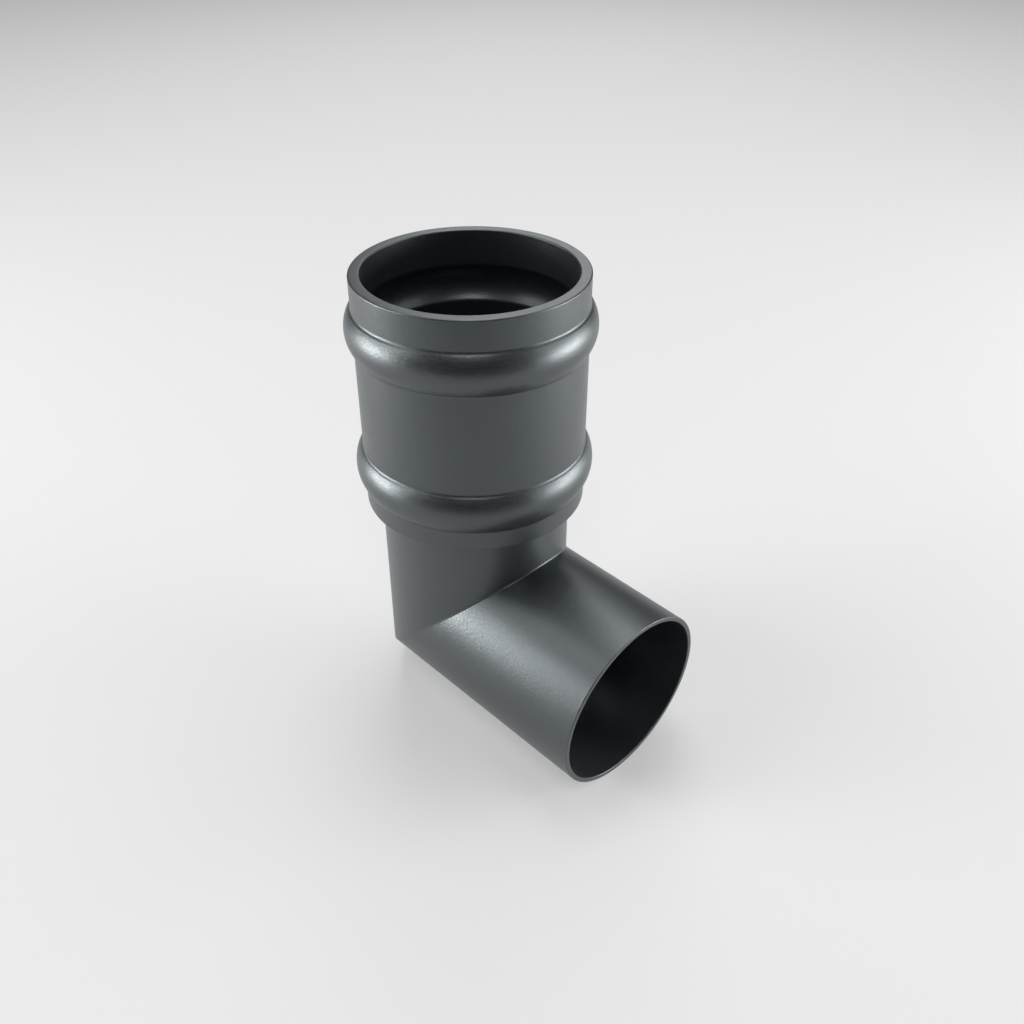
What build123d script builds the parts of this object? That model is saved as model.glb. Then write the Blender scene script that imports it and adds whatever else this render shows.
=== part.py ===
from build123d import *
import os

# Downpipe bend: an elbow of round pipe, joined on a mitre, with a socket collar at its top that has
# two raised beads. Its arm falls a little, so that it drains. The whole of it is one piece of metal.
# Lengths are in millimetres. The origin is on the socket's axis, at the seat that the pipe above
# stands on. Z runs up the socket, and the arm points along X, falling by its slope.

# Pipe of the neck and the arm
pipe_diameter = 76.0
pipe_wall = 2.0
neck_height = 56.8  # from where the two axes meet up to the underside of the collar
arm_reach = 87.9  # along the arm's axis, from the socket's axis to its open end
arm_slope = 2.5  # degrees that the arm falls below square

# Socket collar
socket_clearance = 1.5  # all round the pipe that enters it
collar_wall = 4.4
collar_height = 93.5  # from its underside to its rim
seat_thickness = 4.0  # of the ledge inside, which the entering pipe stands on

# Beads round the outside of the collar
bead_width = 17.2
bead_rise = 3.1
foot_to_bead = 16.4  # from the collar's underside up to the middle of the lower bead
rim_to_bead = 20.1  # from the rim down to the middle of the upper bead

# Grooves round the inside of the socket, one behind each bead
groove_width = 16.0
groove_depth = 2.9
groove_drop = 1.6  # from a bead's middle down to the middle of its groove

# Bevels of the free edges
rim_bevel = 0.6
foot_bevel = 0.6
pipe_end_bevel = 0.4

pipe_radius = pipe_diameter / 2
bore_radius = pipe_radius - pipe_wall
socket_radius = pipe_radius + socket_clearance
collar_radius = socket_radius + collar_wall
foot_z = -seat_thickness
rim_z = foot_z + collar_height
arm_z = foot_z - neck_height
bead_heights = [foot_z + foot_to_bead, rim_z - rim_to_bead]
groove_heights = [z - groove_drop for z in bead_heights]


def ribbed_section(radius, low_z, rib_heights, rib_width, rib_rise):
    """Half section of a round bar from low_z to the rim, with an arc bulging out at each rib."""
    with BuildSketch(Plane.XZ) as section:
        with BuildLine():
            corner = (radius, low_z)
            for z in rib_heights:
                below = (radius, z - rib_width / 2)
                above = (radius, z + rib_width / 2)
                Line(corner, below)
                ThreePointArc(below, (radius + rib_rise, z), above)
                corner = above
            Polyline(corner, (radius, rim_z), (0, rim_z), (0, low_z), (radius, low_z))
        make_face()
    return section.sketch


with BuildPart() as downpipe_bend:
    # Neck and arm, solid, with a mitre where they meet
    with BuildLine() as waterway:
        neck = Line((0, 0, 0), (0, 0, arm_z))
        PolarLine(neck @ 1, arm_reach, direction=Vector(1, 0, 0).rotate(Axis.Y, arm_slope))
    with BuildSketch(Plane.XY):
        Circle(pipe_radius)
    sweep(path=waterway.line, transition=Transition.RIGHT)

    # Collar, solid, with its beads
    collar = ribbed_section(collar_radius, foot_z, bead_heights, bead_width, bead_rise)
    revolve(collar, axis=Axis.Z)

    # Waterway through the neck and the arm
    with BuildSketch(Plane.XY):
        Circle(bore_radius)
    sweep(path=waterway.line, transition=Transition.RIGHT, mode=Mode.SUBTRACT)

    # Socket down to the seat, with its grooves
    socket = ribbed_section(socket_radius, 0, groove_heights, groove_width, groove_depth)
    revolve(socket, axis=Axis.Z, mode=Mode.SUBTRACT)

    # Bevels of the rim, the collar's underside and the arm's open end
    chamfer(downpipe_bend.faces().sort_by(Axis.Z)[-1].edges(), rim_bevel)
    underside = downpipe_bend.edges().filter_by_position(Axis.Z, foot_z, foot_z)
    chamfer(underside.sort_by(SortBy.RADIUS)[-1], foot_bevel)
    chamfer(downpipe_bend.faces().sort_by(Axis.X)[-1].edges(), pipe_end_bevel)

downpipe_bend.part.label = "downpipe_bend"
os.makedirs("parts", exist_ok=True)
export_step(downpipe_bend.part, "parts/downpipe_bend.step")
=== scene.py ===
import bpy
from math import acos, cos, pi, radians, sin, tan
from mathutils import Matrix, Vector


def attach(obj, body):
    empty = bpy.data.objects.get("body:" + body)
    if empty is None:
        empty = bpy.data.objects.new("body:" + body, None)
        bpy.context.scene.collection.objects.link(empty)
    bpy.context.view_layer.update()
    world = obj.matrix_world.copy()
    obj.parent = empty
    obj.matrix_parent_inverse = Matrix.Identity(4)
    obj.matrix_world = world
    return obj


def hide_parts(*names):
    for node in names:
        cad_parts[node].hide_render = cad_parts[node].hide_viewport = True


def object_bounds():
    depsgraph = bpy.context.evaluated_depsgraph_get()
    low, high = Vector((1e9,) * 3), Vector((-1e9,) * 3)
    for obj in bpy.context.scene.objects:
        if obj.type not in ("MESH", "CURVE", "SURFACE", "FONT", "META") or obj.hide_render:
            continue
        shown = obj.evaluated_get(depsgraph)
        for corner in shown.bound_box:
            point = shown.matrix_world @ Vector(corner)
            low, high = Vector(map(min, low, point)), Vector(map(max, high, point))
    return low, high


# Downpipe bend of powder-coated aluminium, standing on a pale studio floor.
# Blender's lengths are metres. The bend's own sizes below are millimetres, as a pipe's are given.

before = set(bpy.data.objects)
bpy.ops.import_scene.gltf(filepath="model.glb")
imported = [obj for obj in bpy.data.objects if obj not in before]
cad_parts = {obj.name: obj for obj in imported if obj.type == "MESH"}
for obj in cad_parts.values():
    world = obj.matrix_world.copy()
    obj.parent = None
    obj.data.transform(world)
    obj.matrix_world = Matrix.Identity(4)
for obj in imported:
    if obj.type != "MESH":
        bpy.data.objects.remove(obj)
cad_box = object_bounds()

MM = 0.001

# Sizes of the bend. Z is measured from the seat inside the socket.
PIPE_RADIUS = 38.0
BORE_RADIUS = 36.0
CORNER_Z = -60.8  # where the axes of the neck and the arm meet
ARM_REACH = 87.9  # along the arm's axis
ARM_SLOPE = 2.5  # degrees that the arm falls below square
SOCKET_RADIUS = 39.5
COLLAR_RADIUS = 43.9
FOOT_Z = -4.0
RIM_Z = 89.5
SEAT_Z = 0.0
BEAD_HEIGHTS = (12.4, 69.4)
BEAD_RISE = 3.1
BEAD_CROWN = 12.9  # radius of its broad middle
BEAD_LEAN = 34.0  # degrees to which the crown reaches on either side
BEAD_SHOULDER = 3.0  # radius beyond that
BEAD_CREASE = 1.6  # radius where the shoulder meets the wall
GROOVE_DEPTH = 2.9
GROOVE_CROWN = 10.9
GROOVE_LEAN = 20.0
GROOVE_CREASE = 2.2  # the soft edge along each side of a groove
GROOVE_DROP = 1.6  # each groove's middle lies this much below its bead's

# Roundings of edges and corners
RIM_ROUNDING = 0.6
FOOT_ROUNDING = 0.5
FOOT_CORNER = 0.5
SEAT_ROUNDING = 0.4
PIPE_END_ROUNDING = 0.4
MITRE_ROUNDING = 0.7

SIDES = 192  # of every circle round a pipe
CROWN_STEPS = 9
SHOULDER_STEPS = 5
CREASE_STEPS = 4
ROUNDING_STEPS = 3
SMOOTH_BELOW = 32.0  # degrees between faces that shade as one surface
MERGE_BELOW = 0.001  # points closer than this are one
ON_MITRE_WITHIN = 0.01

MITRE_TILT = radians(45 - ARM_SLOPE / 2)  # of the plane that halves the corner

# Studio: sizes in metres
FLOOR_Z = cad_box[0][2]
FLOOR_SIZE = 6.0
FLOOR_COLOUR = "#E0E0E0"
FLOOR_ROUGHNESS = 0.9
FLOOR_GLOW = 0.40  # share of its look that is glow
CARD_DISTANCE = 0.62
CARD_WIDTH = 1.4
CARD_HEIGHT = 0.5
CARD_COLOUR = "#0A0A0A"
WALLS_RADIUS = 6.0
WALLS_SIDES = 48
WALLS_LEVEL = 0.07
WORLD_LEVEL = 0.75

# Powder coat: sizes and depths in millimetres. Real grains of powder are about 0.05 mm across. They
# are drawn at 0.7 mm, because anything finer doesn't show in the picture.
NOISE_RANGE = (0.3, 0.7)  # noise seldom leaves it
COAT_DARK = "#1A1C1F"
COAT_LIGHT = "#232629"
COAT_SHEEN = "#EEF9FC"
COAT_IOR = 1.91
ROUGHNESS = (0.37, 0.41)
GRAIN_ROUGHNESS = 0.05
GRAIN_SIZE = 0.7
GRAIN_DEPTH = 0.046
PEEL_SIZE = 4.0
PEEL_DEPTH = 0.03
CLOUD_SIZE = 45.0

# Camera, matched to the photograph's view
IMAGE_SIDE = 1024
FOCAL_PIXELS = 1024.0
SENSOR_WIDTH = 36.0
CAMERA_PLACE = (0.2576, -0.2365, 0.2298)
CAMERA_PITCH = 35.26
CAMERA_AZIMUTH = 45.0


def add_node(tree, kind, links=(), **settings):
    """Adds a node with its links and its settings, which name a socket or else a property."""
    node = tree.nodes.new(kind)
    for name, value in settings.items():
        if name in node.inputs:
            node.inputs[name].default_value = value
        else:
            setattr(node, name, value)
    for target, source in links:
        tree.links.new(source, node.inputs[target])
    return node


def linear(hex_colour):
    """An sRGB hex colour as Blender's linear one."""
    channels = [int(hex_colour[i : i + 2], 16) / 255 for i in (1, 3, 5)]
    return [c / 12.92 if c <= 0.04045 else ((c + 0.055) / 1.055) ** 2.4 for c in channels] + [1.0]


def arc(centre, radius, start, end, steps):
    """Points of an arc from one angle to another, both ends included. Angles are in radians."""
    turns = [start + (end - start) * i / steps for i in range(steps + 1)]
    return [(centre[0] + radius * cos(t), centre[1] + radius * sin(t)) for t in turns]


def rounding(centre, radius, start, end):
    """Points of a rounded edge or corner. Start and end are in quarter turns."""
    return arc(centre, radius, start * pi / 2, end * pi / 2, ROUNDING_STEPS)


def ridge(wall_radius, middle, rise, crown, lean, shoulder, crease):
    """Outline of a bead or a groove, going up.

    Either side of its crown, which reaches out to lean, in degrees, comes a shoulder of another
    radius and then the crease where it meets the wall.
    """
    lean = radians(lean)
    crown_centre = (wall_radius + rise - crown, middle)
    inward = crown - shoulder
    shoulder_centre = (crown_centre[0] + inward * cos(lean), middle + inward * sin(lean))
    steepest = acos((wall_radius + crease - shoulder_centre[0]) / (shoulder + crease))
    crease_centre = (
        wall_radius + crease,
        shoulder_centre[1] + (shoulder + crease) * sin(steepest),
    )
    upper = arc(crown_centre, crown, 0, lean, CROWN_STEPS)
    upper += arc(shoulder_centre, shoulder, lean, steepest, SHOULDER_STEPS)[1:]
    upper += arc(crease_centre, crease, pi + steepest, pi, CREASE_STEPS)[1:]
    lower = [(radius, 2 * middle - height) for radius, height in reversed(upper[1:])]
    return lower + upper


def turned(name, outline):
    """A surface of revolution about Z: a circle extruded and resized from point to point."""
    bpy.ops.object.select_all(action="DESELECT")
    radius, height = outline[0]
    bpy.ops.mesh.primitive_circle_add(
        vertices=SIDES, radius=radius * MM, location=(0, 0, height * MM)
    )
    piece = bpy.context.object
    piece.name = name
    bpy.ops.object.transform_apply(location=True, rotation=True, scale=True)
    bpy.ops.object.mode_set(mode="EDIT")
    bpy.ops.mesh.select_all(action="SELECT")
    for next_radius, next_height in outline[1:]:
        rise = (0, 0, (next_height - height) * MM)
        bpy.ops.mesh.extrude_edges_move(TRANSFORM_OT_translate={"value": rise})
        ratio = next_radius / radius
        bpy.ops.transform.resize(
            value=(ratio, ratio, 1), center_override=(0, 0, next_height * MM)
        )
        radius, height = next_radius, next_height
    bpy.ops.object.mode_set(mode="OBJECT")
    return piece


def cut_on_mitre(piece, keep_arm):
    """Cuts a piece off square across the corner, on the plane that halves it."""
    bpy.context.view_layer.objects.active = piece
    bpy.ops.object.mode_set(mode="EDIT")
    bpy.ops.mesh.select_all(action="SELECT")
    bpy.ops.mesh.bisect(
        plane_co=(0, 0, CORNER_Z * MM),
        plane_no=(sin(MITRE_TILT), 0, -cos(MITRE_TILT)),
        clear_inner=keep_arm,
        clear_outer=not keep_arm,
    )
    bpy.ops.object.mode_set(mode="OBJECT")


def collar_and_neck():
    """From the neck's outer wall over the collar and its rim, and down the socket to the bore."""
    past_mitre = CORNER_Z - 2 * PIPE_RADIUS
    outline = [(PIPE_RADIUS, past_mitre)]
    outline += rounding((PIPE_RADIUS + FOOT_CORNER, FOOT_Z - FOOT_CORNER), FOOT_CORNER, 2, 1)
    outline += rounding(
        (COLLAR_RADIUS - FOOT_ROUNDING, FOOT_Z + FOOT_ROUNDING), FOOT_ROUNDING, -1, 0
    )
    for middle in BEAD_HEIGHTS:
        outline += ridge(
            COLLAR_RADIUS, middle, BEAD_RISE, BEAD_CROWN, BEAD_LEAN, BEAD_SHOULDER, BEAD_CREASE
        )
    outline += rounding((COLLAR_RADIUS - RIM_ROUNDING, RIM_Z - RIM_ROUNDING), RIM_ROUNDING, 0, 1)
    outline += rounding((SOCKET_RADIUS + RIM_ROUNDING, RIM_Z - RIM_ROUNDING), RIM_ROUNDING, 1, 2)
    for middle in reversed(BEAD_HEIGHTS):
        groove = ridge(
            SOCKET_RADIUS, middle - GROOVE_DROP, GROOVE_DEPTH,
            GROOVE_CROWN, GROOVE_LEAN, GROOVE_CROWN, GROOVE_CREASE,
        )
        outline += groove[::-1]
    outline += rounding(
        (SOCKET_RADIUS - SEAT_ROUNDING, SEAT_Z + SEAT_ROUNDING), SEAT_ROUNDING, 0, -1
    )
    outline += rounding((BORE_RADIUS + SEAT_ROUNDING, SEAT_Z - SEAT_ROUNDING), SEAT_ROUNDING, 1, 2)
    outline += [(BORE_RADIUS, past_mitre)]
    return turned("downpipe_bend_body", outline)


def arm():
    """The arm's wall, open end and bore, turned upright and then laid along its slope."""
    past_mitre = -2 * PIPE_RADIUS
    end_corner = ARM_REACH - PIPE_END_ROUNDING
    outline = [(PIPE_RADIUS, past_mitre)]
    outline += rounding((PIPE_RADIUS - PIPE_END_ROUNDING, end_corner), PIPE_END_ROUNDING, 0, 1)
    outline += rounding((BORE_RADIUS + PIPE_END_ROUNDING, end_corner), PIPE_END_ROUNDING, 1, 2)
    outline += [(BORE_RADIUS, past_mitre)]
    piece = turned("arm", outline)
    piece.rotation_euler = (0, radians(90 + ARM_SLOPE), 0)
    piece.location = (0, 0, CORNER_Z * MM)
    bpy.ops.object.transform_apply(location=True, rotation=True, scale=True)
    return piece


def on_mitre(vertex):
    above_corner = vertex.co.z - CORNER_Z * MM
    return abs(above_corner - vertex.co.x * tan(MITRE_TILT)) < ON_MITRE_WITHIN * MM


# The two pieces are cut on the mitre's plane and joined there, and the edge between them is rounded
body = collar_and_neck()
cut_on_mitre(body, keep_arm=False)
arm_piece = arm()
cut_on_mitre(arm_piece, keep_arm=True)
bpy.ops.object.select_all(action="DESELECT")
arm_piece.select_set(True)
body.select_set(True)
bpy.context.view_layer.objects.active = body
bpy.ops.object.join()

bpy.ops.object.mode_set(mode="EDIT")
bpy.ops.mesh.select_all(action="SELECT")
bpy.ops.mesh.remove_doubles(threshold=MERGE_BELOW * MM)
bpy.ops.mesh.normals_make_consistent(inside=False)
bpy.ops.mesh.select_all(action="DESELECT")
bpy.ops.mesh.select_mode(type="EDGE")
bpy.ops.object.mode_set(mode="OBJECT")
for edge in body.data.edges:
    edge.select = all(on_mitre(body.data.vertices[v]) for v in edge.vertices)
bpy.ops.object.mode_set(mode="EDIT")
bpy.ops.mesh.bevel(offset=MITRE_ROUNDING * MM, offset_type="OFFSET", segments=ROUNDING_STEPS)
bpy.ops.object.mode_set(mode="OBJECT")
bpy.ops.object.shade_smooth_by_angle(angle=radians(SMOOTH_BELOW))
bpy.ops.object.modifier_add(type="WEIGHTED_NORMAL")
body.modifiers[-1].keep_sharp = True
bpy.ops.object.modifier_apply(modifier=body.modifiers[-1].name)

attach(body, "root")
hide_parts("downpipe_bend")


def powder_coated_aluminium():
    """Satin anthracite polyester powder, baked on aluminium.

    The skin is a cool grey near black, and most of what the eye sees is its broad, soft sheen.
    The powder has flowed to faint swells, orange peel, which bend the edges of the highlights,
    and each grain left a spot a little duller or glossier than the next, so they sparkle softly.
    """
    material = bpy.data.materials.new("powder_coated_aluminium_satin")
    material.use_nodes = True
    tree = material.node_tree
    shader = tree.nodes["Principled BSDF"]
    shader.inputs["IOR"].default_value = COAT_IOR
    shader.inputs["Specular Tint"].default_value = linear(COAT_SHEEN)
    place = [("Vector", add_node(tree, "ShaderNodeTexCoord").outputs["Object"])]
    grain = add_node(tree, "ShaderNodeTexNoise", place, Scale=1 / (GRAIN_SIZE * MM), Detail=1.0)
    peel = add_node(tree, "ShaderNodeTexNoise", place, Scale=1 / (PEEL_SIZE * MM), Detail=1.0)
    cloud = add_node(tree, "ShaderNodeTexNoise", place, Scale=1 / (CLOUD_SIZE * MM), Detail=2.0)

    # Each shade and roughness is spread over the range that the noise fills
    spread = {"From Min": NOISE_RANGE[0], "From Max": NOISE_RANGE[1]}
    share = add_node(tree, "ShaderNodeMapRange", [("Value", grain.outputs["Fac"])], **spread)
    shade = add_node(tree, "ShaderNodeMix", [(0, share.outputs["Result"])], data_type="RGBA")
    shade.inputs[6].default_value = linear(COAT_DARK)
    shade.inputs[7].default_value = linear(COAT_LIGHT)
    tree.links.new(shade.outputs[2], shader.inputs["Base Color"])

    spread.update({"To Min": ROUGHNESS[0], "To Max": ROUGHNESS[1]})
    cloud_dull = add_node(tree, "ShaderNodeMapRange", [("Value", cloud.outputs["Fac"])], **spread)
    spread.update({"To Min": -GRAIN_ROUGHNESS, "To Max": GRAIN_ROUGHNESS})
    grain_dull = add_node(tree, "ShaderNodeMapRange", [("Value", grain.outputs["Fac"])], **spread)
    dull = add_node(
        tree, "ShaderNodeMath",
        [(0, cloud_dull.outputs["Result"]), (1, grain_dull.outputs["Result"])], operation="ADD",
    )
    tree.links.new(dull.outputs["Value"], shader.inputs["Roughness"])

    swells = add_node(
        tree, "ShaderNodeBump", [("Height", peel.outputs["Fac"])], Distance=PEEL_DEPTH * MM
    )
    grains = add_node(
        tree, "ShaderNodeBump",
        [("Height", grain.outputs["Fac"]), ("Normal", swells.outputs["Normal"])],
        Distance=GRAIN_DEPTH * MM,
    )
    tree.links.new(grains.outputs["Normal"], shader.inputs["Normal"])
    return material


def pale_floor():
    """Matt studio paper, without a sheen.

    To the camera, and in gloss, it also glows a little, which thins the shadow on it.
    """
    material = bpy.data.materials.new("matt_studio_paper")
    material.use_nodes = True
    tree = material.node_tree
    shader = tree.nodes["Principled BSDF"]
    shader.inputs["Base Color"].default_value = linear(FLOOR_COLOUR)
    shader.inputs["Roughness"].default_value = FLOOR_ROUGHNESS
    glow = add_node(tree, "ShaderNodeEmission", Color=linear(FLOOR_COLOUR), Strength=1.0)
    ray = add_node(tree, "ShaderNodeLightPath")
    seen = add_node(
        tree, "ShaderNodeMath",
        [(0, ray.outputs["Is Camera Ray"]), (1, ray.outputs["Is Glossy Ray"])], operation="ADD",
    )
    seen = add_node(
        tree, "ShaderNodeMath",
        [(0, seen.outputs["Value"]), (1, ray.outputs["Is Transmission Ray"])], operation="ADD",
    )
    share = add_node(tree, "ShaderNodeMath", [(0, seen.outputs["Value"])], operation="MULTIPLY")
    share.inputs[1].default_value = FLOOR_GLOW
    surface = add_node(
        tree, "ShaderNodeMixShader",
        [
            ("Fac", share.outputs["Value"]),
            (1, shader.outputs["BSDF"]),
            (2, glow.outputs["Emission"]),
        ],
    )
    output = tree.nodes["Material Output"]
    tree.links.new(surface.outputs["Shader"], output.inputs["Surface"])
    return material


def black_card():
    """Matt black velvet, whose pile gives back almost no light."""
    material = bpy.data.materials.new("matt_black_velvet")
    material.use_nodes = True
    shader = material.node_tree.nodes["Principled BSDF"]
    shader.inputs["Base Color"].default_value = linear(CARD_COLOUR)
    shader.inputs["Roughness"].default_value = 1.0
    return material


def dim_walls():
    """Walls that glow faintly, painted light in place of grey cloth in dim light, so that no part
    of the bend's sheen is quite black.
    """
    material = bpy.data.materials.new("faintly_glowing_studio_walls")
    material.use_nodes = True
    shader = material.node_tree.nodes["Principled BSDF"]
    shader.inputs["Base Color"].default_value = (0, 0, 0, 1)
    shader.inputs["Specular IOR Level"].default_value = 0.0
    # A faint white glow on a black base: painted light, not lamp light falling on cloth
    shader.inputs["Emission Color"].default_value = (1, 1, 1, 1)
    shader.inputs["Emission Strength"].default_value = WALLS_LEVEL
    material.cycles.emission_sampling = "NONE"
    return material


body.data.materials.append(powder_coated_aluminium())

bpy.ops.object.select_all(action="DESELECT")
bpy.ops.mesh.primitive_plane_add(size=FLOOR_SIZE, location=(0, 0, FLOOR_Z))
floor = bpy.context.object
floor.name = "floor"
floor.data.materials.append(pale_floor())

# A black card behind the camera, which keeps the front of the studio dark in the bend's sheen. It
# is there for gloss only, and doesn't shade the floor.
bpy.ops.object.select_all(action="DESELECT")
card_heading = radians(CAMERA_AZIMUTH - 90)
bpy.ops.mesh.primitive_plane_add(
    size=1.0,
    location=(
        CARD_DISTANCE * cos(card_heading),
        CARD_DISTANCE * sin(card_heading),
        FLOOR_Z + CARD_HEIGHT / 2,
    ),
    rotation=(pi / 2, 0, radians(CAMERA_AZIMUTH)),
)
card = bpy.context.object
card.name = "black_card"
card.scale = (CARD_WIDTH, CARD_HEIGHT, 1)
card.visible_camera = False
card.visible_diffuse = False
card.visible_shadow = False
card.data.materials.append(black_card())

camera = bpy.data.objects.new("camera", bpy.data.cameras.new("camera"))
bpy.context.scene.collection.objects.link(camera)
camera.location = Vector(CAMERA_PLACE)
camera.rotation_euler = (radians(90 - CAMERA_PITCH), 0, radians(CAMERA_AZIMUTH))
camera.data.sensor_width = SENSOR_WIDTH
camera.data.lens = SENSOR_WIDTH * FOCAL_PIXELS / IMAGE_SIDE
bpy.context.scene.camera = camera

# Soft boxes round the bend: name, azimuth and elevation in degrees, distance, width and height in
# metres, power in watts. The low ones stand on the floor at either side.
SOFT_BOXES = (
    ("low_left", 225, 3.8, 1.0, 0.5, 0.32, 6.8),
    ("low_right_front", 36, 3.3, 1.0, 0.5, 0.3, 2.6),
    ("low_right", 47, 3.3, 1.0, 0.5, 0.3, 3.7),
    ("low_right_back", 60, 3.3, 1.0, 0.5, 0.3, 1.8),
    ("left", 230, 9, 2.0, 0.6, 0.6, 2.0),
    ("left_back", 210, 9, 2.0, 0.6, 0.6, 2.6),
    ("left_middle", 232, 20, 2.0, 0.6, 0.6, 4.0),
    ("left_high", 245, 30, 2.0, 0.7, 0.7, 5.0),
    ("left_top", 225, 55, 2.0, 0.8, 0.8, 5.0),
    ("right", 60, 9, 2.0, 0.6, 0.6, 2.4),
    ("right_high", 30, 30, 2.0, 0.7, 0.7, 3.4),
    ("right_back_high", 50, 30, 2.0, 0.7, 0.7, 2.2),
    ("right_back_top", 90, 55, 2.0, 0.8, 0.8, 3.6),
    ("back", 132, 27, 2.0, 0.7, 0.7, 3.5),
    ("back_high", 135, 55, 2.0, 0.8, 0.8, 6.0),
    ("top", 135, 80, 2.0, 0.8, 0.8, 12.5),
    ("front_top", 315, 55, 2.0, 0.6, 0.6, 6.2),
)
SOFT_BOX_AIM = Vector((0.02, 0, 0))


def soft_box(name, azimuth, elevation, distance, width, height, power):
    """A rectangular lamp that faces the bend and that the camera doesn't see."""
    lamp = bpy.data.lights.new(name, "AREA")
    lamp.shape = "RECTANGLE"
    lamp.size = width
    lamp.size_y = height
    lamp.energy = power
    box = bpy.data.objects.new(name, lamp)
    box.visible_camera = False
    bpy.context.scene.collection.objects.link(box)
    level = cos(radians(elevation))
    outward = Vector(
        (level * cos(radians(azimuth)), level * sin(radians(azimuth)), sin(radians(elevation)))
    )
    box.location = SOFT_BOX_AIM + distance * outward
    box.rotation_euler = (-outward).to_track_quat("-Z", "Y").to_euler()


for soft_box_settings in SOFT_BOXES:
    soft_box(*soft_box_settings)

# Dim walls and ceiling round the whole studio, which the bend's sheen mirrors. Their faint glow is
# painted light, in place of lamp light on grey cloth. The camera looks through them at the pale
# world outside.
bpy.ops.object.select_all(action="DESELECT")
bpy.ops.mesh.primitive_uv_sphere_add(
    segments=WALLS_SIDES, ring_count=WALLS_SIDES // 2, radius=WALLS_RADIUS, location=(0, 0, 0)
)
studio = bpy.context.object
studio.name = "studio_walls"
studio.visible_camera = False
studio.data.materials.append(dim_walls())

world = bpy.data.worlds.new("pale_world")
bpy.context.scene.world = world
world.use_nodes = True
background = world.node_tree.nodes["Background"]
background.inputs["Color"].default_value = (1, 1, 1, 1)
background.inputs["Strength"].default_value = WORLD_LEVEL
world.cycles.sampling_method = "NONE"  # its light never gets past the walls

bpy.context.scene.view_settings.view_transform = "Standard"
